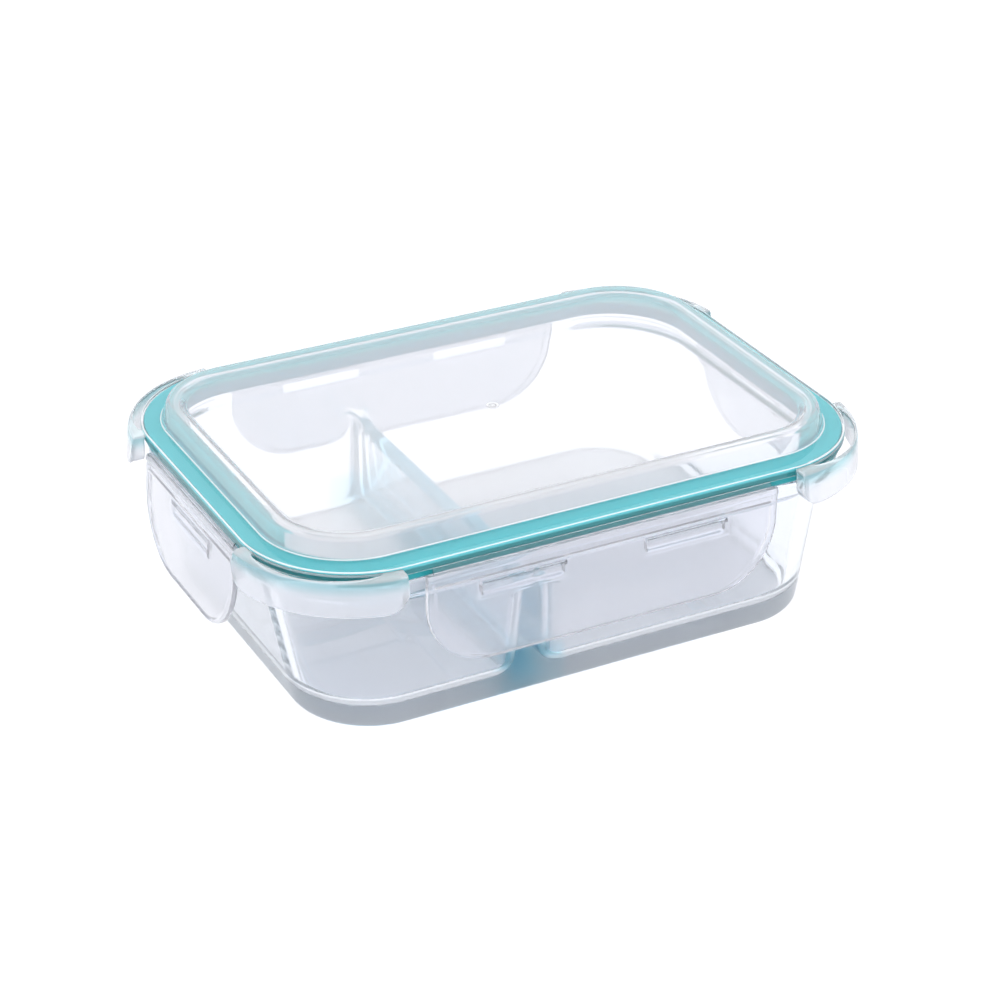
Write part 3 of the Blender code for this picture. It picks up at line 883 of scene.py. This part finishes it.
def lid_material(name, clearness, tone=1.0):
    """Plastic of the lid; less clearness makes it milkier and less tone makes it darker."""
    material, tree, shader = new_material(name, IOR=PLASTIC_IOR, Transmission_Weight=clearness)
    vary_colour(tree, shader, noise(tree, 22.0), (0.98 * tone, 0.98 * tone, 0.995 * tone),
                (0.99 * tone, 0.99 * tone, tone))
    vary_roughness(tree, shader, noise(tree, 60.0), 0.02, 0.05)
    return material


def frosted_material():
    material, tree, shader = new_material("frosted_flap_plastic", IOR=PLASTIC_IOR,
                                          Transmission_Weight=0.8)
    vary_colour(tree, shader, noise(tree, 30.0), (0.88, 0.89, 0.93), (0.91, 0.915, 0.955))
    vary_roughness(tree, shader, noise(tree, 90.0), 0.09, 0.15)
    add_bump(tree, shader, noise(tree, 900.0, 2.0), 0.0001, 0.15)
    return material


def wing_material():
    """Frosted plastic with painted light: near the ledge the colour of the gasket behind it is
    painted on, and its top is painted paler as a highlight on the bead.
    """
    material, tree, shader = new_material("frosted_wing_plastic", IOR=PLASTIC_IOR,
                                          Transmission_Weight=0.7)
    milky, painted_gasket_colour = (0.90, 0.94, 0.97), (0.55, 0.80, 0.84)
    # the teal stops paint on the gasket seen through the wing; the palest top stops are a painted
    # highlight
    colour_by_height(tree, shader, LEDGE_TOP_Z - 7.0, LEDGE_TOP_Z - 0.9,
                     ((0.0, (0.93, 0.94, 0.97)), (0.25, milky), (0.72, painted_gasket_colour), (0.86, painted_gasket_colour),
                      (0.93, (0.93, 0.96, 0.97)), (1.0, (0.95, 0.97, 0.98))))
    vary_roughness(tree, shader, noise(tree, 90.0), 0.08, 0.14)
    add_bump(tree, shader, noise(tree, 900.0, 2.0), 0.0001, 0.15)
    return material


def silicone_material(name, side, top):
    """Teal silicone with painted light and shade: its top face is painted lighter where light
    reaches it, and its sides deeper in tone as painted shade.
    """
    material, tree, shader = new_material(name, IOR=SILICONE_IOR)
    colour_by_height(tree, shader, GASKET_TOP_Z - 0.9, GASKET_TOP_Z - 0.3,
                     ((0.0, side), (1.0, top)))
    vary_roughness(tree, shader, noise(tree, 120.0), 0.35, 0.5)
    add_bump(tree, shader, noise(tree, 700.0, 2.0), 0.0001, 0.2)
    return material


# ------------------------------------------------------------------ stage, light and camera

def make_floor():
    """White floor that lights itself, so that it stays white under the glass."""
    bm = bmesh.new()
    bmesh.ops.create_grid(bm, x_segments=2, y_segments=2, size=FLOOR_HALF)
    mesh = bpy.data.meshes.new("floor")
    bm.to_mesh(mesh)
    bm.free()
    floor = bpy.data.objects.new("floor", mesh)
    floor.location.z = -FLOOR_GAP
    bpy.context.scene.collection.objects.link(floor)
    material, tree, shader = new_material(
        "floor_white", Roughness=0.9, Specular_IOR_Level=0.1,
        Emission_Color=(0.975, 0.98, 1.0, 1.0), Emission_Strength=1.02)
    vary_colour(tree, shader, noise(tree, 3.0), (0.10, 0.10, 0.11), (0.11, 0.11, 0.12))
    mesh.materials.append(material)


def make_world():
    world = bpy.data.worlds.new("studio")
    bpy.context.scene.world = world
    world.use_nodes = True
    tree = world.node_tree
    background = tree.nodes["Background"]
    coords = tree.nodes.new("ShaderNodeTexCoord")
    split = tree.nodes.new("ShaderNodeSeparateXYZ")
    tree.links.new(coords.outputs["Generated"], split.inputs["Vector"])
    colour_ramp(tree, split.outputs["Z"], background.inputs["Color"],
                ((0.0, (0.74, 0.78, 0.90)), (0.35, (0.96, 0.97, 1.0)), (1.0, (1.0, 1.0, 1.0))))
    background.inputs["Strength"].default_value = 1.34


def make_camera():
    azimuth, elevation = math.radians(CAMERA_AZIMUTH), math.radians(CAMERA_ELEVATION)
    back = Vector((math.sin(azimuth) * math.cos(elevation),
                   -math.cos(azimuth) * math.cos(elevation), math.sin(elevation)))
    right = Vector((math.cos(azimuth), math.sin(azimuth), 0.0))
    up = back.cross(right)
    turn = Matrix((right, up, back)).transposed() @ Matrix.Rotation(
        math.radians(CAMERA_ROLL), 3, "Z")
    data = bpy.data.cameras.new("camera")
    data.lens, data.sensor_width = CAMERA_LENS, 36.0
    camera = bpy.data.objects.new("camera", data)
    camera.location = CAMERA_TARGET + back * CAMERA_DISTANCE
    camera.rotation_mode = "QUATERNION"
    camera.rotation_quaternion = turn.to_quaternion()
    bpy.context.scene.collection.objects.link(camera)
    bpy.context.scene.camera = camera


# ------------------------------------------------------------------ build

glass = glass_material()
clear, hazy = lid_material("clear_lid_plastic", 1.0), lid_material("hazy_lid_plastic", 0.7, 0.92)
# milkier plastic: the gate mark's own look, and a painted highlight on the ledge's edges
mark_and_edge_highlight_plastic = lid_material("milky_mark_and_edge_highlight_plastic", 0.35)
frosted, winged = frosted_material(), wing_material()
# one teal silicone: its dark side colour is painted shade, its light top colour painted light
silicone = silicone_material("teal_silicone", (0.015, 0.34, 0.37), (0.15, 0.80, 0.86))
# same silicone, its side colour painted lighter and bluer: painted light on the gasket's inner face
inner_silicone = silicone_material("silicone_painted_lighter", (0.03, 0.52, 0.76), (0.15, 0.80, 0.86))
for node, material in (("glass_base", glass), ("lid_cover", clear), ("seal_gasket", silicone)):
    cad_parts[node].data.materials.clear()
    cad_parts[node].data.materials.append(material)

tray = make_tray(glass)
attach(tray, "tray")
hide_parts("glass_base")

core = make_divider_core(core_material())
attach(core, "tray")

shell = make_lid_shell(clear, hazy, mark_and_edge_highlight_plastic)
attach(shell, "lid")
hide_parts("lid_cover")

for wing_index, wing_corner in enumerate(((-1, -1), (1, -1), (1, 1), (-1, 1))):
    wing = make_wing(wing_index, wing_corner, winged)
    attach(wing, "lid")

mark = make_gate_mark(mark_and_edge_highlight_plastic)
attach(mark, "lid")

gasket = make_gasket(silicone, inner_silicone)
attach(gasket, "lid")
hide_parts("seal_gasket")

side_x, side_y = LID_LEDGE[0] + HINGE_OUT, LID_LEDGE[1] + HINGE_OUT
long_flap = (LONG_FLAP_HALF, LONG_SLOTS, 0.0)
short_flap = (SHORT_FLAP_HALF, SHORT_SLOTS, SHORT_FLAP_LEAN)
for side, (half_length, slots, lean), location, turn in (
        ("front", long_flap, (0, -side_y, HINGE_Z), 0),
        ("right", short_flap, (side_x, 0, HINGE_Z), 90),
        ("back", long_flap, (0, side_y, HINGE_Z), 180),
        ("left", short_flap, (-side_x, 0, HINGE_Z), 270)):
    panel = make_flap(side, half_length, slots, frosted)
    place(panel, location, turn, lean)
    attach(panel, f"{side}_flap")
    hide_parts(f"flap_{side}")
    web = make_web(side, half_length, clear)
    place(web, location, turn)
    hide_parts(f"film_hinge_{side}")
    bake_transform(web)

make_floor()
make_world()
make_camera()
scene = bpy.context.scene
scene.view_settings.view_transform = "Standard"
scene.cycles.max_bounces = 24
scene.cycles.transmission_bounces = 24
scene.cycles.glossy_bounces = 16
scene.cycles.diffuse_bounces = 8
scene.cycles.transparent_max_bounces = 16
